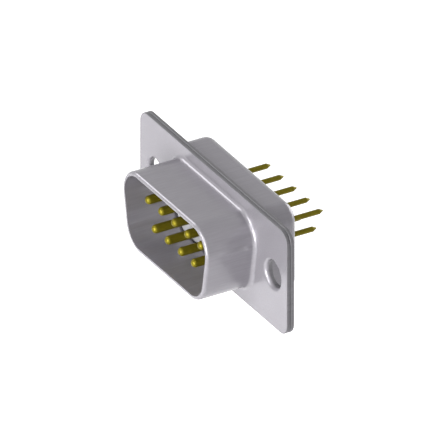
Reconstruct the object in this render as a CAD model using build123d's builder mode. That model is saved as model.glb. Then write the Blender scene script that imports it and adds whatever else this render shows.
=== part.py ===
from build123d import *

import os
from math import cos, radians, sin, tan

os.makedirs("parts", exist_ok=True)

# A nine-way D-shaped plug connector: a two-part drawn steel shell, two moulded insulators
# and nine turned contacts with straight board tails. All lengths are in millimetres.
# The origin is the centre of the flange's front face. The mating side faces -Y, the tails
# point to +Y, and the wide row of contacts is the upper one, towards +Z.

# Contacts and their places
wide_row_count = 5
pitch = 2.77
row_spacing = 2.84
pin_diameter = 1.0
pin_length = 5.1
shank_diameter = 1.4
collar_diameter = 2.0
collar_length = 1.0
tail_diameter = 0.6
tail_length = 4.8
tail_point_length = 0.45
tail_point_diameter = 0.16
contact_gap = 0.04
collar_end_play = 0.03

# D-shaped shroud of the front shell, whose inside stands clear of the outermost contacts
side_clearance = 2.98
d_corner = 2.6
d_side_angle = 10
shroud_length = 5.96
shroud_root_radius = 0.5
rim_radius = 0.35

# Can of the rear shell, which stands out past the shroud's inside, and its rear lip
can_side_step = 1.12
can_top_step = 1.16
can_corner = 2.0
can_depth = 3.97
can_root_radius = 0.4
can_edge_radius = 1.15
lip_width = 1.6
lip_corner = 1.3

# Flange, which both shells have, and its edge above and below the can
sheet = 0.44
flange_height = 12.6
flange_edge = 0.9
hole_to_can = 2.855
hole_to_end = 3.08
flange_corner = 1.5

# Fixing holes: the front shell's drawn eyelets pass through the rear flange and are flared
hole_diameter = 3.05
eyelet_mouth_radius = 0.45
eyelet_wall = 0.3
eyelet_flare = 0.2
eyelet_gap = 0.03

# Insulators, clamped together between the front flange and the can's rear wall
front_insulator_depth = 2.2
shell_gap = 0.05
board_stand_off = 0.5
moulding_chamfer = 0.12

# Depths behind the flange's front face that several pieces share
flange_rear = 2 * sheet
can_rear = flange_rear + can_depth
can_floor = can_rear - sheet
board_seat = can_rear + board_stand_off
collar_front = front_insulator_depth - collar_length / 2
collar_rear = collar_front + collar_length

# Widths follow from the contacts outwards, and heights from the flange inwards
d_width = (wide_row_count - 1) * pitch + 2 * side_clearance
can_width = d_width + 2 * can_side_step
hole_spacing = can_width + 2 * hole_to_can
flange_width = hole_spacing + 2 * hole_to_end
can_height = flange_height - 2 * flange_edge
d_height = can_height - 2 * can_top_step
cavity_width = can_width - 2 * sheet
cavity_height = can_height - 2 * sheet
cavity_corner = can_corner - sheet
cavity_edge_radius = can_edge_radius - sheet
opening_width = can_width - 2 * lip_width
opening_height = can_height - 2 * lip_width
plate_width = cavity_width - 2 * shell_gap
plate_height = cavity_height - 2 * shell_gap
plate_corner = cavity_corner - shell_gap

hole_places = [(-hole_spacing / 2, 0), (hole_spacing / 2, 0)]
eyelet_radius = hole_diameter / 2 + eyelet_wall

# Faces and edges are picked by where they lie, to within this distance
same_place = 0.001


def row_places(count, height):
    """Centres of one row of contacts, from the left as the mating side sees them."""
    return [((i - (count - 1) / 2) * pitch, height) for i in range(count)]


contact_places = row_places(wide_row_count, row_spacing / 2)
contact_places += row_places(wide_row_count - 1, -row_spacing / 2)


def behind(depth):
    """The plane this far behind the flange's front face, facing the mating side."""
    return Plane.XZ.offset(-depth)


def d_shape(growth):
    """The shroud's inner D outline, grown outwards by a distance."""
    angle = radians(d_side_angle)
    corner = d_corner + growth
    half_height = d_height / 2 + growth
    half_top = d_width / 2 + growth - corner + corner * (1 + sin(angle)) / cos(angle)
    half_bottom = half_top - 2 * half_height * tan(angle)
    top_right = (half_top, half_height)
    bottom_right = (half_bottom, -half_height)
    bottom_left = (-half_bottom, -half_height)
    top_left = (-half_top, half_height)
    with BuildSketch() as shape:
        with BuildLine():
            Polyline(top_right, bottom_right, bottom_left, top_left, close=True)
        make_face()
        fillet(shape.vertices(), corner)
    return shape.sketch


def bore(places, radius, near, far):
    """Cut equal round holes into the part in hand, from one depth to another."""
    with BuildSketch(behind(far)) as circles:
        with Locations(*places):
            Circle(radius)
    extrude(circles.sketch, amount=far - near, mode=Mode.SUBTRACT)


def at_depth(shapes, depth):
    """Those faces or edges whose middle lies this far behind the flange's front face."""
    return shapes.filter_by_position(Axis.Y, depth - same_place, depth + same_place)


def flat_face(part, depth):
    """The largest flat face across Y at this depth."""
    return at_depth(part.faces().filter_by(Axis.Y), depth).sort_by(SortBy.AREA)[-1]


def inner_edges(part, depth):
    """The edges where a wall rises from, or a hollow opens in, the flat face at this depth."""
    return flat_face(part, depth).inner_wires().sort_by(SortBy.LENGTH)[-1].edges()


def outer_edges(part, depth):
    """The edges around the flat face at this depth."""
    return flat_face(part, depth).outer_wire().edges()


def hole_edges(part, radius, depth):
    """The edges of round holes of this radius in the flat face at this depth."""
    circles = at_depth(part.edges().filter_by(GeomType.CIRCLE), depth)
    return circles.filter_by(lambda edge: abs(edge.radius - radius) < same_place)


# Front shell: flange, D-shaped shroud with a rounded rim, and two drawn eyelets
with BuildPart() as front_shell:
    with BuildSketch(behind(sheet)):
        RectangleRounded(flange_width, flange_height, flange_corner)
    extrude(amount=sheet)
    with BuildSketch(behind(0)):
        add(d_shape(sheet))
    extrude(amount=shroud_length)
    fillet(inner_edges(front_shell, 0), shroud_root_radius)
    fillet(outer_edges(front_shell, -shroud_length), rim_radius)
    with BuildSketch(behind(sheet)):
        add(d_shape(0))
    extrude(amount=sheet + shroud_length, mode=Mode.SUBTRACT)
    fillet(inner_edges(front_shell, sheet), shroud_root_radius + sheet)
    with BuildSketch(behind(sheet)):
        with Locations(*hole_places):
            Circle(eyelet_radius)
    extrude(amount=-sheet)
    with BuildSketch(behind(flange_rear)):
        with Locations(*hole_places):
            Circle(eyelet_radius + eyelet_flare)
    extrude(amount=eyelet_flare, taper=45)
    bore(hole_places, hole_diameter / 2, 0, flange_rear)
    fillet(hole_edges(front_shell, hole_diameter / 2, 0), eyelet_mouth_radius)

front_shell.part.label = "front_shell"
export_step(front_shell.part, "parts/front_shell.step")

# Rear shell: flange and drawn can, whose rear wall has an opening for the rear insulator
with BuildPart() as rear_shell:
    with BuildSketch(behind(flange_rear)):
        RectangleRounded(flange_width, flange_height, flange_corner)
    extrude(amount=sheet)
    with BuildSketch(behind(flange_rear)):
        RectangleRounded(can_width, can_height, can_corner)
    extrude(amount=-can_depth)
    fillet(inner_edges(rear_shell, flange_rear), can_root_radius)
    fillet(outer_edges(rear_shell, can_rear), can_edge_radius)
    with BuildSketch(behind(can_floor)):
        RectangleRounded(cavity_width, cavity_height, cavity_corner)
    extrude(amount=can_floor - sheet, mode=Mode.SUBTRACT)
    fillet(outer_edges(rear_shell, can_floor), cavity_edge_radius)
    fillet(inner_edges(rear_shell, sheet), can_root_radius + sheet)
    with BuildSketch(behind(can_rear)):
        RectangleRounded(opening_width, opening_height, lip_corner)
    extrude(amount=sheet, mode=Mode.SUBTRACT)
    bore(hole_places, eyelet_radius + eyelet_gap, sheet, flange_rear)
    chamfer(hole_edges(rear_shell, eyelet_radius + eyelet_gap, flange_rear), eyelet_flare)

rear_shell.part.label = "rear_shell"
export_step(rear_shell.part, "parts/rear_shell.step")

# Front insulator: a plate in the can, with a D-shaped boss that closes the shroud's root
with BuildPart() as front_insulator:
    with BuildSketch(behind(front_insulator_depth)):
        RectangleRounded(plate_width, plate_height, plate_corner)
    extrude(amount=front_insulator_depth - sheet)
    with BuildSketch(behind(sheet)):
        add(d_shape(-shell_gap))
    extrude(amount=sheet)
    chamfer(outer_edges(front_insulator, 0), moulding_chamfer)
    bore(contact_places, shank_diameter / 2 + contact_gap, 0, front_insulator_depth)
    bore(contact_places, collar_diameter / 2 + contact_gap, collar_front, front_insulator_depth)

front_insulator.part.label = "front_insulator"
export_step(front_insulator.part, "parts/front_insulator.step")

# Rear insulator: a plate in the can, with a boss through its opening that seats on the board
counterbore_floor = collar_rear + collar_end_play

with BuildPart() as rear_insulator:
    with BuildSketch(behind(can_floor)):
        RectangleRounded(plate_width, plate_height, plate_corner)
    extrude(amount=can_floor - front_insulator_depth)
    fillet(outer_edges(rear_insulator, can_floor), cavity_edge_radius)
    with BuildSketch(behind(board_seat)):
        RectangleRounded(opening_width, opening_height, lip_corner)
        offset(amount=-shell_gap, mode=Mode.REPLACE)
    extrude(amount=board_seat - can_floor)
    chamfer(outer_edges(rear_insulator, board_seat), moulding_chamfer)
    bore(contact_places, shank_diameter / 2 + contact_gap, front_insulator_depth, board_seat)
    bore(contact_places, collar_diameter / 2 + contact_gap, front_insulator_depth, counterbore_floor)

rear_insulator.part.label = "rear_insulator"
export_step(rear_insulator.part, "parts/rear_insulator.step")

# Contacts: turned in one piece, each held by its collar between the two insulators. The
# shoulders of pin and tail lie level with the insulators' faces.
pin_radius = pin_diameter / 2
shank_radius = shank_diameter / 2
collar_radius = collar_diameter / 2
tail_radius = tail_diameter / 2
tail_end = board_seat + tail_length

for number, (x, z) in enumerate(contact_places, start=1):
    with BuildPart() as contact:
        with BuildSketch(Plane.XY.offset(z)):
            with BuildLine():
                dome = CenterArc((x, pin_radius - pin_length), pin_radius, -90, 90)
                Polyline(
                    dome @ 1,
                    (x + pin_radius, 0),
                    (x + shank_radius, 0),
                    (x + shank_radius, collar_front),
                    (x + collar_radius, collar_front),
                    (x + collar_radius, collar_rear),
                    (x + shank_radius, collar_rear),
                    (x + shank_radius, board_seat),
                    (x + tail_radius, board_seat),
                    (x + tail_radius, tail_end - tail_point_length),
                    (x + tail_point_diameter / 2, tail_end),
                    (x, tail_end),
                    dome @ 0,
                )
            make_face()
        revolve(axis=Axis((x, 0, z), (0, 1, 0)))
    contact.part.label = f"contact_{number}"
    export_step(contact.part, f"parts/contact_{number}.step")
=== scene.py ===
from math import cos, pi, radians, sin, tan

import bmesh
import bpy
from mathutils import Matrix, Vector


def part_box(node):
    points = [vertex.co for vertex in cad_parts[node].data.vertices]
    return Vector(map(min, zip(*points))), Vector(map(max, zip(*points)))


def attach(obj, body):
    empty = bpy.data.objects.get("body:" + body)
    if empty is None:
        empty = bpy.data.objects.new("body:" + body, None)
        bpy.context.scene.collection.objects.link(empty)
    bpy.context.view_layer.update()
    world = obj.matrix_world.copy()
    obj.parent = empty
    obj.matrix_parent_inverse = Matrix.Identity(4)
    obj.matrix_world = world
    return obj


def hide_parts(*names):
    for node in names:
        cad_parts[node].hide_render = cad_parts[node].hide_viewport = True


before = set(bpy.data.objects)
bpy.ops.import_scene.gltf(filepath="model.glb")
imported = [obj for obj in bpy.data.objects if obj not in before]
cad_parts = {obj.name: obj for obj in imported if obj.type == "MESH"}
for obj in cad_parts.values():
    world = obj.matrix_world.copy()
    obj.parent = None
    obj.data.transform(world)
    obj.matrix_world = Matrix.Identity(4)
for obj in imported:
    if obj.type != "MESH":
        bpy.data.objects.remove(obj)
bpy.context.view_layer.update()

mm = 0.001
samePoint = 1e-5        # mm: points as near as this are one
sharpAngle = 35         # degrees: edges that turn more than this stay sharp
print("frame loaded, pieces:", len(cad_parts))


# Camera

view = {
    "azimuth": 60,
    "elevation": 30,
    "pixelsPerMm": 9.456,
    "imageSize": 444,
    "flangeCentre": (213.48, 223.29),   # where the flange's centre lies in the image, in pixels
    "distance": 300,                    # mm
    "clip": (0.001, 5),                 # metres
}


def makeCamera(v):
    az, el = radians(v["azimuth"]), radians(v["elevation"])
    back = Vector((sin(az) * cos(el), -cos(az) * cos(el), sin(el)))
    right = Vector((cos(az), sin(az), 0))
    up = back.cross(right)
    toRight = (v["imageSize"] / 2 - v["flangeCentre"][0]) / v["pixelsPerMm"]
    toTop = (v["flangeCentre"][1] - v["imageSize"] / 2) / v["pixelsPerMm"]
    middle = (right * toRight + up * toTop) * mm
    data = bpy.data.cameras.new("camera")
    data.type = "ORTHO"
    data.ortho_scale = v["imageSize"] / v["pixelsPerMm"] * mm
    data.clip_start, data.clip_end = v["clip"]
    cam = bpy.data.objects.new("camera", data)
    cam.location = middle + back * v["distance"] * mm
    cam.rotation_mode = "QUATERNION"
    cam.rotation_quaternion = back.to_track_quat("Z", "Y")
    bpy.context.scene.collection.objects.link(cam)
    bpy.context.scene.camera = cam


makeCamera(view)


# Sizes read from the frame, in mm

flangeLow, flangeHigh = [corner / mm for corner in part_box("front_shell")]
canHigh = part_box("rear_shell")[1] / mm
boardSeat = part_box("rear_insulator")[1].y / mm
sheet = flangeHigh.y / 2
flangeRear = flangeHigh.y


# Materials: a noise is given as (scale, detail), a bump as (strength, distance in mm)

noiseMiddle = (0.3, 0.7)        # where most of a noise's values lie


def newMaterial(name):
    mat = bpy.data.materials.new(name)
    mat.use_nodes = True
    nodes = mat.node_tree.nodes
    nodes.clear()
    out = nodes.new("ShaderNodeOutputMaterial")
    shader = nodes.new("ShaderNodeBsdfPrincipled")
    mat.node_tree.links.new(shader.outputs["BSDF"], out.inputs["Surface"])
    return mat, nodes, mat.node_tree.links, shader


def objectSpace(nodes, links, stretch=(1, 1, 1)):
    # object coordinates in millimetres, stretched along one axis for drawn or turned marks
    coord = nodes.new("ShaderNodeTexCoord")
    mapping = nodes.new("ShaderNodeMapping")
    mapping.inputs["Scale"].default_value = [s / mm for s in stretch]
    links.new(coord.outputs["Object"], mapping.inputs["Vector"])
    return mapping.outputs["Vector"]


def noise(nodes, links, space, scale, detail):
    n = nodes.new("ShaderNodeTexNoise")
    n.inputs["Scale"].default_value = scale
    n.inputs["Detail"].default_value = detail
    links.new(space, n.inputs["Vector"])
    return n.outputs["Fac"]


def spread(nodes, links, value, low, high):
    # maps the middle of a noise to a range
    m = nodes.new("ShaderNodeMapRange")
    m.inputs["From Min"].default_value = noiseMiddle[0]
    m.inputs["From Max"].default_value = noiseMiddle[1]
    m.inputs["To Min"].default_value = low
    m.inputs["To Max"].default_value = high
    links.new(value, m.inputs["Value"])
    return m.outputs["Result"]


def mixColors(nodes, links, value, first, second):
    # from the first to the second as the noise rises; each is a colour or another mix's result
    mix = nodes.new("ShaderNodeMix")
    mix.data_type = "RGBA"
    for name, colour in (("A", first), ("B", second)):
        if isinstance(colour, tuple):
            mix.inputs[name].default_value = (*colour, 1)
        else:
            links.new(colour, mix.inputs[name])
    links.new(spread(nodes, links, value, 0, 1), mix.inputs["Factor"])
    return mix.outputs["Result"]


def addBump(nodes, links, shader, heights):
    # heights is a list of (value, strength, distance in mm), stacked one on the other
    last = None
    for value, strength, distance in heights:
        bump = nodes.new("ShaderNodeBump")
        bump.inputs["Strength"].default_value = strength
        bump.inputs["Distance"].default_value = distance * mm
        links.new(value, bump.inputs["Height"])
        if last:
            links.new(last, bump.inputs["Normal"])
        last = bump.outputs["Normal"]
    links.new(last, shader.inputs["Normal"])


platedSteel = {
    "light": (0.335, 0.323, 0.35),
    "dark": (0.31, 0.298, 0.324),
    "mark": (0.295, 0.284, 0.308),
    "metallic": 0.4,
    "roughness": (0.21, 0.265),
    "specular": 0.4,
}

shearedEdge = {                         # the flange's cut edge, duller than the plated faces
    "light": (0.20, 0.195, 0.208),
    "dark": (0.16, 0.156, 0.167),
    "mark": (0.15, 0.146, 0.156),
    "metallic": 0.4,
    "roughness": (0.34, 0.44),
    "specular": 0.4,
}

steelPattern = {                        # the same on both
    "drawn": (6, 0.3, 6),               # draws the marks out along Y
    "cloud": (0.35, 4),
    "marks": (1.0, 2),
    "grain": (22, 2),
    "marksBump": (0.06, 0.01),
    "grainBump": (0.08, 0.004),
}


def makeSteel(name, s, pattern):
    mat, nodes, links, shader = newMaterial(name)
    plain = objectSpace(nodes, links)
    drawn = objectSpace(nodes, links, pattern["drawn"])
    cloud = noise(nodes, links, plain, *pattern["cloud"])
    marks = noise(nodes, links, drawn, *pattern["marks"])
    grain = noise(nodes, links, plain, *pattern["grain"])
    colour = mixColors(nodes, links, cloud, s["dark"], s["light"])
    lined = mixColors(nodes, links, marks, s["mark"], colour)
    links.new(lined, shader.inputs["Base Color"])
    links.new(spread(nodes, links, marks, *s["roughness"]), shader.inputs["Roughness"])
    shader.inputs["Metallic"].default_value = s["metallic"]
    shader.inputs["Specular IOR Level"].default_value = s["specular"]
    heights = [(marks, *pattern["marksBump"]), (grain, *pattern["grainBump"])]
    addBump(nodes, links, shader, heights)
    return mat


goldPlate = {
    "light": (0.205, 0.172, 0.013),
    "dark": (0.16, 0.133, 0.008),
    "metallic": 0.5,
    "roughness": (0.285, 0.35),
    "specular": 0.12,
    "turned": (0.4, 26, 0.4),           # turns the rings round Y
    "cloud": (1.6, 3),
    "rings": (1.0, 2),
    "ringsBump": (0.12, 0.004),
}


def makeGoldPlate(s):
    mat, nodes, links, shader = newMaterial("goldPlate")
    plain = objectSpace(nodes, links)
    turned = objectSpace(nodes, links, s["turned"])
    cloud = noise(nodes, links, plain, *s["cloud"])
    rings = noise(nodes, links, turned, *s["rings"])
    colour = mixColors(nodes, links, cloud, s["dark"], s["light"])
    links.new(colour, shader.inputs["Base Color"])
    links.new(spread(nodes, links, rings, *s["roughness"]), shader.inputs["Roughness"])
    shader.inputs["Metallic"].default_value = s["metallic"]
    shader.inputs["Specular IOR Level"].default_value = s["specular"]
    addBump(nodes, links, shader, [(rings, *s["ringsBump"])])
    return mat


mouldedPlastic = {
    "light": (0.40, 0.40, 0.415),
    "dark": (0.34, 0.34, 0.355),
    "roughness": (0.52, 0.64),
    "flow": (1, 1, 2.4),                # flattens the clouds along Z
    "cloud": (0.6, 4),
    "grain": (14, 3),
    "grainBump": (0.25, 0.006),
}


def makeMouldedPlastic(s):
    mat, nodes, links, shader = newMaterial("mouldedPlastic")
    plain = objectSpace(nodes, links)
    flow = objectSpace(nodes, links, s["flow"])
    cloud = noise(nodes, links, flow, *s["cloud"])
    grain = noise(nodes, links, plain, *s["grain"])
    colour = mixColors(nodes, links, cloud, s["dark"], s["light"])
    links.new(colour, shader.inputs["Base Color"])
    links.new(spread(nodes, links, grain, *s["roughness"]), shader.inputs["Roughness"])
    addBump(nodes, links, shader, [(grain, *s["grainBump"])])
    return mat


steelMaterial = makeSteel("platedSteel", platedSteel, steelPattern)
edgeMaterial = makeSteel("shearedEdge", shearedEdge, steelPattern)
goldMaterial = makeGoldPlate(goldPlate)
plasticMaterial = makeMouldedPlastic(mouldedPlastic)
print("materials made")


# Outlines: a rounded shape is a ring of corners, each with its centre and the stretch it turns

def dOutline(halfWidth, halfHeight, radius, slant, steps):
    topX, z = halfWidth - radius, halfHeight - radius
    bottomX = topX - 2 * z * tan(radians(slant))
    corners = [((topX, z), 90, -slant), ((bottomX, -z), -slant, -90),
               ((-bottomX, -z), -90, slant - 180), ((-topX, z), slant - 180, -270)]
    return {"corners": corners, "radius": radius, "steps": steps}


def boxOutline(halfWidth, halfHeight, radius, steps):
    return dOutline(halfWidth, halfHeight, radius, 0, steps)


def roundOutline(x, z, radius, steps):
    return {"corners": [((x, z), 90, -270)], "radius": radius, "steps": steps}


def newMesh():
    bm = bmesh.new()
    bm.faces.layers.int.new("flat")     # 1 on the flat faces, for their shading
    return bm


def vertsOf(geom):
    return [g for g in geom if isinstance(g, bmesh.types.BMVert)]


def makeRing(bm, outline, growth, depth):
    # one vertex spun round each corner; growth moves the ring outwards, depth moves it along Y
    ends = []
    for (x, z), start, end in outline["corners"]:
        centre = Vector((x, depth, z))
        arm = Vector((cos(radians(start)), 0, sin(radians(start)))) * (outline["radius"] + growth)
        first = bm.verts.new(centre + arm)
        spun = bmesh.ops.spin(bm, geom=[first], cent=centre, axis=(0, 1, 0),
                              angle=radians(start - end), steps=outline["steps"])
        ends.append((first, vertsOf(spun["geom_last"])[0]))
    meeting = {}
    for i, (first, last) in enumerate(ends):
        after = ends[(i + 1) % len(ends)][0]
        if (after.co - last.co).length > samePoint:
            bm.edges.new((last, after))
        else:
            meeting[last] = after
    bmesh.ops.weld_verts(bm, targetmap=meeting)
    vert = begin = ends[0][0]
    ring = [vert.link_edges[0]]
    while ring[-1].other_vert(vert) != begin:    # walk round the ring, edge by edge
        vert = ring[-1].other_vert(vert)
        ring.append([edge for edge in vert.link_edges if edge != ring[-1]][0])
    return ring


def sweepRing(bm, outline, profile):
    # a wall through rings at each (growth, depth) of a profile; gives its first and last ring
    first = ring = makeRing(bm, outline, *profile[0])
    centres = [Vector((x, 0, z)) for (x, z), _, _ in outline["corners"]]
    for (growth, depth), (nextGrowth, nextDepth) in zip(profile, profile[1:]):
        made = bmesh.ops.extrude_edge_only(bm, edges=ring)["geom"]
        verts = set(vertsOf(made))
        ring = [g for g in made if isinstance(g, bmesh.types.BMEdge) and verts.issuperset(g.verts)]
        bmesh.ops.translate(bm, vec=(0, nextDepth - depth, 0), verts=list(verts))
        grown = (outline["radius"] + nextGrowth) / (outline["radius"] + growth)
        for centre in centres:      # each vertex grows away from the nearest corner's centre
            corner = [v for v in verts
                      if centre == min(centres, key=lambda c: (v.co - c).xz.length)]
            bmesh.ops.scale(bm, vec=(grown, 1, grown), space=Matrix.Translation(-centre),
                            verts=corner)
    return first, ring


def sweepSheared(bm, outline, profile):
    # the same wall in the second material, for a sheared edge or a pierced bore
    others = set(bm.faces)
    rings = sweepRing(bm, outline, profile)
    for face in set(bm.faces) - others:
        face.material_index = 1
    return rings


def fillFlat(bm, rings):
    # fills the flat area between rings, and marks its faces as flat
    edges = [edge for ring in rings for edge in ring]
    made = bmesh.ops.triangle_fill(bm, use_beauty=True, edges=edges)
    for face in [g for g in made["geom"] if isinstance(g, bmesh.types.BMFace)]:
        face[bm.faces.layers.int["flat"]] = 1


def arc(centre, radius, start, end, steps):
    # points of a (growth, depth) profile on a round corner, angles in degrees from growth to depth
    turns = [radians(start + (end - start) * i / steps) for i in range(steps + 1)]
    return [(centre[0] + radius * cos(a), centre[1] + radius * sin(a)) for a in turns]


def smoothNormals(bm):
    # a flat face keeps its normal up to the rounds beside it, and elsewhere large faces weigh more
    flat = bm.faces.layers.int["flat"]
    normals = []
    for vert in bm.verts:
        around = [face for face in vert.link_faces if face[flat]] or list(vert.link_faces)
        normal = sum((face.normal * face.calc_area() for face in around), Vector()).normalized()
        sharp = any(edge.calc_face_angle(0) > radians(sharpAngle) for edge in vert.link_edges)
        normals.append(None if sharp else normal)
    return normals


def setNormals(mesh, normals):
    # beside a sharp edge, where there is None, the mesh's own normals stay
    own = [corner.vector.copy() for corner in mesh.corner_normals]
    chosen = [normals[loop.vertex_index] or own[loop.index] for loop in mesh.loops]
    mesh.normals_split_custom_set(chosen)


def finishPiece(bm, name, materials, nodes):
    # joins the walls and fills into one mesh, sets its shading and puts it in place of its nodes
    bmesh.ops.remove_doubles(bm, verts=bm.verts, dist=samePoint)
    bmesh.ops.recalc_face_normals(bm, faces=bm.faces)
    bmesh.ops.scale(bm, vec=(mm, mm, mm), verts=bm.verts)
    mesh = bpy.data.meshes.new(name)
    bm.to_mesh(mesh)
    openEdges = sum(1 for edge in bm.edges if not edge.is_manifold)
    normals = smoothNormals(bm)
    bm.free()
    mesh.shade_smooth()
    mesh.set_sharp_from_angle(angle=radians(sharpAngle))
    setNormals(mesh, normals)
    for material in materials:
        mesh.materials.append(material)
    piece = bpy.data.objects.new(name, mesh)
    bpy.context.scene.collection.objects.link(piece)
    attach(piece, "root")
    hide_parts(*nodes)
    print(name, "faces:", len(mesh.polygons), "open edges:", openEdges)


# Flange outline and fixing holes, which both shells share

flange = {
    "cornerRadius": 1.5,
    "cornerSteps": 12,
    "edgeBreak": 0.07,      # on the outer corners of the sheared edge
    "seamBreak": 0.14,      # where the two sheets meet, so that the seam shows
    "edgeSteps": 3,
    "holeX": 12.495,
    "holeRadius": 1.525,
    "holeSteps": 48,
    "mouthRadius": 0.45,
    "mouthSteps": 6,
    "collarRadius": 1.825,
    "collarGap": 0.03,
    "flare": 0.2,
}


def flangeOutline():
    return boxOutline(flangeHigh.x, flangeHigh.z, flange["cornerRadius"], flange["cornerSteps"])


def flangeEdge(bm, front, rear):
    # the sheet's sheared edge, with its corners rounded
    frontBreak = flange["seamBreak"] if front == sheet else flange["edgeBreak"]
    rearBreak = flange["seamBreak"] if rear == sheet else flange["edgeBreak"]
    steps = flange["edgeSteps"]
    profile = arc((-frontBreak, front + frontBreak), frontBreak, -90, 0, steps)
    profile += arc((-rearBreak, rear - rearBreak), rearBreak, 0, 90, steps)
    return sweepSheared(bm, flangeOutline(), profile)


# Front shell: flange, D-shaped shroud with a rounded rim, two drawn eyelets

shroud = {
    "halfWidth": 8.52,
    "halfHeight": 4.24,
    "cornerRadius": 2.6,
    "cornerSteps": 20,
    "slant": 10,
    "rootRadius": 0.5,
    "rimRadius": 0.35,
    "roundSteps": 8,        # outside, on the root and the rim
    "innerEdge": 0.05,
    "innerSteps": 3,
    "bendSteps": 10,        # inside, where the shroud opens to the rear
}


def shroudOutline(steps):
    s = shroud
    return dOutline(s["halfWidth"], s["halfHeight"], s["cornerRadius"], s["slant"], steps)


def makeFrontShell(s, f):
    bm = newMesh()
    front, root, rim, inner = flangeLow.y, s["rootRadius"], s["rimRadius"], s["innerEdge"]
    bend = root + sheet
    profile = arc((sheet + root, -root), root, 90, 180, s["roundSteps"])
    profile += arc((sheet - rim, front + rim), rim, 0, -90, s["roundSteps"])
    profile += arc((inner, front + inner), inner, -90, -180, s["innerSteps"])
    profile += arc((bend, -root), bend, 180, 90, s["bendSteps"])
    frontRing, rearRing = sweepRing(bm, shroudOutline(s["cornerSteps"]), profile)
    edgeFront, edgeRear = flangeEdge(bm, 0, sheet)
    frontRings, rearRings = [frontRing, edgeFront], [rearRing, edgeRear]
    hole, mouth, edge = f["holeRadius"], f["mouthRadius"], f["edgeBreak"]
    collar, flare = f["collarRadius"] - hole, f["flare"]
    mouthProfile = arc((mouth, mouth), mouth, -90, -180, f["mouthSteps"])
    boreProfile = [(0, mouth)]
    boreProfile += arc((edge, flangeRear - edge), edge, 180, 90, f["edgeSteps"])
    flareProfile = [(edge, flangeRear), (collar + flare, flangeRear)]
    flareProfile += [(collar, flangeRear - flare), (collar, sheet)]
    for side in (-1, 1):
        outline = roundOutline(side * f["holeX"], 0, hole, f["holeSteps"])
        frontRings.append(sweepRing(bm, outline, mouthProfile)[0])
        sweepSheared(bm, outline, boreProfile)
        rearRings.append(sweepRing(bm, outline, flareProfile)[1])
    fillFlat(bm, frontRings)
    fillFlat(bm, rearRings)
    finishPiece(bm, "frontShell", [steelMaterial, edgeMaterial], ["front_shell"])


makeFrontShell(shroud, flange)


# Rear shell: flange and drawn can, with an opening in the can's rear wall

can = {
    "halfWidth": 9.64,
    "halfHeight": 5.4,
    "cornerRadius": 2.0,
    "cornerSteps": 12,      # and the lip's
    "rootRadius": 0.4,
    "rootSteps": 6,
    "edgeRadius": 1.15,
    "edgeSteps": 10,
    "insideSteps": 8,
    "lipWidth": 1.6,
    "lipCorner": 1.3,
    "lipEdge": 0.04,
    "lipSteps": 2,
}


def canOutline():
    return boxOutline(can["halfWidth"], can["halfHeight"], can["cornerRadius"], can["cornerSteps"])


def lipOutline():
    halfWidth, halfHeight = can["halfWidth"] - can["lipWidth"], can["halfHeight"] - can["lipWidth"]
    return boxOutline(halfWidth, halfHeight, can["lipCorner"], can["cornerSteps"])


def makeRearShell(c, f):
    bm = newMesh()
    rear, floor, root, edge = canHigh.y, canHigh.y - sheet, c["rootRadius"], c["edgeRadius"]
    outside = arc((root, flangeRear + root), root, -90, -180, c["rootSteps"])
    outside += arc((-edge, rear - edge), edge, 0, 90, c["edgeSteps"])
    flangeRing, backRing = sweepRing(bm, canOutline(), outside)
    inside = arc((-edge, rear - edge), edge - sheet, 90, 0, c["insideSteps"])
    inside += arc((root, sheet + root + sheet), root + sheet, 180, 270, c["insideSteps"])
    floorRing, mouthRing = sweepRing(bm, canOutline(), inside)
    lipEdge, lipSteps = c["lipEdge"], c["lipSteps"]
    lip = arc((lipEdge, rear - lipEdge), lipEdge, 90, 180, lipSteps)
    lip += arc((lipEdge, floor + lipEdge), lipEdge, 180, 270, lipSteps)
    lipBack, lipFront = sweepRing(bm, lipOutline(), lip)
    edgeFront, edgeRear = flangeEdge(bm, sheet, flangeRear)
    frontRings, rearRings = [mouthRing, edgeFront], [flangeRing, edgeRear]
    hole = f["collarRadius"] + f["collarGap"]
    seat = [(0, sheet), (0, flangeRear - f["flare"]), (f["flare"], flangeRear)]
    for side in (-1, 1):
        outline = roundOutline(side * f["holeX"], 0, hole, f["holeSteps"])
        holeFront, holeRear = sweepRing(bm, outline, seat)
        frontRings.append(holeFront)
        rearRings.append(holeRear)
    for rings in (frontRings, rearRings, [backRing, lipBack], [floorRing, lipFront]):
        fillFlat(bm, rings)
    finishPiece(bm, "rearShell", [steelMaterial, edgeMaterial], ["rear_shell"])


makeRearShell(can, flange)
print("shells made")


# Contacts and the holes that hold them

contact = {
    "pinRadius": 0.5,
    "pinSteps": 10,
    "shankRadius": 0.7,
    "collarRadius": 1.0,
    "collarFront": 1.7,
    "collarRear": 2.7,
    "edgeBreak": 0.04,
    "tailRadius": 0.3,
    "shoulderRadius": 0.25,     # rounds the tail into its point
    "shoulderLead": 0.08,       # how far ahead of the point the shoulder starts
    "shoulderTurn": 25,
    "shoulderSteps": 3,
    "pointLength": 0.45,
    "pointRadius": 0.08,
    "pointBreak": 0.03,
    "turnSteps": 40,
    "gap": 0.04,
    "endPlay": 0.03,
    "holeSteps": 32,
}

contactNodes = [f"contact_{number}" for number in range(1, 10)]


def contactPlace(node):
    low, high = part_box(node)
    return (low + high) / 2 / mm


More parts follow.
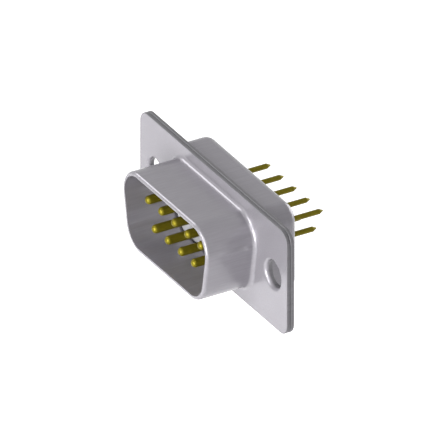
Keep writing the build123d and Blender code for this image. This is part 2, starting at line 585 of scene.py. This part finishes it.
def makeContact(c, node):
    bm = newMesh()
    low, high = [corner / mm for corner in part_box(node)]
    place = contactPlace(node)
    pin, shank, collar, tail = c["pinRadius"], c["shankRadius"], c["collarRadius"], c["tailRadius"]
    front, rear, edge = c["collarFront"], c["collarRear"], c["edgeBreak"]
    shoulder, point, pointBreak = c["shoulderRadius"], c["pointRadius"], c["pointBreak"]
    shoulderStart = high.y - c["pointLength"] - c["shoulderLead"]
    profile = arc((0, low.y + pin), pin, -90, 0, c["pinSteps"])
    profile += [(pin, 0), (shank - edge, 0), (shank, edge), (shank, front)]
    profile += [(collar - edge, front), (collar, front + edge)]
    profile += [(collar, rear - edge), (collar - edge, rear), (shank, rear)]
    profile += [(shank, boardSeat - edge), (shank - edge, boardSeat), (tail, boardSeat)]
    profile += arc((tail - shoulder, shoulderStart), shoulder, 0, c["shoulderTurn"],
                   c["shoulderSteps"])
    profile += [(point, high.y - pointBreak), (point - pointBreak, high.y), (0, high.y)]
    verts = [bm.verts.new((place.x + r, y, place.z)) for r, y in profile]
    edges = [bm.edges.new(pair) for pair in zip(verts, verts[1:])]
    bmesh.ops.spin(bm, geom=verts + edges, cent=(place.x, 0, place.z), axis=(0, 1, 0),
                   angle=2 * pi, steps=c["turnSteps"], use_merge=True)
    name = "contact" + node.split("_")[1]
    finishPiece(bm, name, [goldMaterial], [node])


for node in contactNodes:
    makeContact(contact, node)
print("contacts made")


# Insulators: a plate and a boss each, with nine stepped holes

insulator = {
    "shellGap": 0.05,
    "joint": 2.2,
    "bossEdge": 0.12,
    "bossSteps": 12,
    "edgeSteps": 3,
    "bendSteps": 8,
    "holeEdge": 0.06,
}


def contactHoles(bm, outer, joint, floor, holeEdge):
    # stepped holes from the outer face to the joint between the insulators
    rings = []
    way = 1 if joint > outer else -1
    shank = contact["shankRadius"] + contact["gap"]
    step = contact["collarRadius"] + contact["gap"] - shank
    profile = [(holeEdge, outer), (0, outer + way * holeEdge), (0, floor)]
    profile += [(step, floor), (step, joint)]
    for node in contactNodes:
        place = contactPlace(node)
        outline = roundOutline(place.x, place.z, shank, contact["holeSteps"])
        rings.append(sweepRing(bm, outline, profile))
    return [ring[0] for ring in rings], [ring[1] for ring in rings]


def makeFrontInsulator(s):
    bm = newMesh()
    gap, joint, edge = s["shellGap"], s["joint"], s["bossEdge"]
    boss = arc((-gap - edge, edge), edge, -90, 0, s["edgeSteps"]) + [(-gap, sheet)]
    faceRing, shoulderRing = sweepRing(bm, shroudOutline(s["bossSteps"]), boss)
    plate = [(-sheet - gap, sheet), (-sheet - gap, joint)]
    plateFront, plateRear = sweepRing(bm, canOutline(), plate)
    holesFront, holesRear = contactHoles(bm, 0, joint, contact["collarFront"], s["holeEdge"])
    fillFlat(bm, [faceRing] + holesFront)
    fillFlat(bm, [shoulderRing, plateFront])
    fillFlat(bm, [plateRear] + holesRear)
    finishPiece(bm, "frontInsulator", [plasticMaterial], ["front_insulator"])


def makeRearInsulator(s):
    bm = newMesh()
    gap, joint, edge = s["shellGap"], s["joint"], s["bossEdge"]
    floor = canHigh.y - sheet
    bend = can["edgeRadius"] - sheet
    plate = [(-sheet - gap, joint)]
    plate += arc((-sheet - gap - bend, floor - bend), bend, 0, 90, s["bendSteps"])
    plateFront, plateRear = sweepRing(bm, canOutline(), plate)
    boss = [(-gap, floor)] + arc((-gap - edge, boardSeat - edge), edge, 0, 90, s["edgeSteps"])
    bossRoot, bossFace = sweepRing(bm, lipOutline(), boss)
    collarFloor = contact["collarRear"] + contact["endPlay"]
    holesRear, holesFront = contactHoles(bm, boardSeat, joint, collarFloor, s["holeEdge"])
    fillFlat(bm, [plateFront] + holesFront)
    fillFlat(bm, [plateRear, bossRoot])
    fillFlat(bm, [bossFace] + holesRear)
    finishPiece(bm, "rearInsulator", [plasticMaterial], ["rear_insulator"])


makeFrontInsulator(insulator)
makeRearInsulator(insulator)
print("insulators made")


# Floor, world and lamps

studio = {
    "floorDrop": 45,        # mm below the flange
    "floorSize": 4000,      # mm
    "floorColor": (0.8, 0.8, 0.8),
    "floorGlow": 0.8,
    "ambient": (0.15, 0.15, 0.156),
}

# each lamp: place in mm, size in mm, power in watts
lamps = {
    "front": ((105, -235, 10), 130, 0.64),
    "frontHigh": ((0, -210, 105), 100, 0.25),
    "left": ((-330, -110, 250), 160, 0.38),
    "right": ((120, -120, 130), 100, 0.08),
    "back": ((-60, 250, 10), 200, 0.34),
}


def backgroundRays(nodes, links):
    # 1 for the rays that see the white background: camera, glossy and transmission
    path = nodes.new("ShaderNodeLightPath")
    seen = path.outputs["Is Camera Ray"]
    for ray in ("Is Glossy Ray", "Is Transmission Ray"):
        either = nodes.new("ShaderNodeMath")
        either.operation = "MAXIMUM"
        links.new(seen, either.inputs[0])
        links.new(path.outputs[ray], either.inputs[1])
        seen = either.outputs["Value"]
    return seen


def makeFloor(s):
    bm = bmesh.new()
    bmesh.ops.create_grid(bm, x_segments=1, y_segments=1, size=s["floorSize"] * mm / 2)
    bmesh.ops.translate(bm, vec=(0, 0, flangeLow.z * mm - s["floorDrop"] * mm), verts=bm.verts)
    mesh = bpy.data.meshes.new("floor")
    bm.to_mesh(mesh)
    bm.free()
    mat = bpy.data.materials.new("floorPaper")
    mat.use_nodes = True
    nodes, links = mat.node_tree.nodes, mat.node_tree.links
    nodes.clear()
    out = nodes.new("ShaderNodeOutputMaterial")
    paper = nodes.new("ShaderNodeBsdfDiffuse")
    paper.inputs["Color"].default_value = (*s["floorColor"], 1)
    glow = nodes.new("ShaderNodeEmission")
    glow.inputs["Color"].default_value = (1, 1, 1, 1)
    level = nodes.new("ShaderNodeMath")
    level.operation = "MULTIPLY"
    level.inputs[1].default_value = s["floorGlow"]
    links.new(backgroundRays(nodes, links), level.inputs[0])
    links.new(level.outputs["Value"], glow.inputs["Strength"])
    both = nodes.new("ShaderNodeAddShader")
    links.new(paper.outputs["BSDF"], both.inputs[0])
    links.new(glow.outputs["Emission"], both.inputs[1])
    links.new(both.outputs["Shader"], out.inputs["Surface"])
    mesh.materials.append(mat)
    floor = bpy.data.objects.new("floor", mesh)
    bpy.context.scene.collection.objects.link(floor)


def makeWorld(s):
    world = bpy.data.worlds.new("studio")
    bpy.context.scene.world = world
    world.use_nodes = True
    nodes, links = world.node_tree.nodes, world.node_tree.links
    nodes.clear()
    out = nodes.new("ShaderNodeOutputWorld")
    ambient = nodes.new("ShaderNodeBackground")
    ambient.inputs["Color"].default_value = (*s["ambient"], 1)
    white = nodes.new("ShaderNodeBackground")
    white.inputs["Color"].default_value = (1, 1, 1, 1)
    mix = nodes.new("ShaderNodeMixShader")
    links.new(backgroundRays(nodes, links), mix.inputs["Fac"])
    links.new(ambient.outputs["Background"], mix.inputs[1])
    links.new(white.outputs["Background"], mix.inputs[2])
    links.new(mix.outputs["Shader"], out.inputs["Surface"])


def makeLamps(rows):
    # area lamps that face the flange's centre
    for name, (place, size, power) in rows.items():
        data = bpy.data.lights.new(name, "AREA")
        data.size = size * mm
        data.energy = power
        lamp = bpy.data.objects.new(name, data)
        lamp.location = Vector(place) * mm
        lamp.rotation_mode = "QUATERNION"
        lamp.rotation_quaternion = Vector(place).to_track_quat("Z", "Y")
        bpy.context.scene.collection.objects.link(lamp)


makeFloor(studio)
makeWorld(studio)
makeLamps(lamps)
bpy.context.scene.view_settings.view_transform = "Standard"
print("studio made")
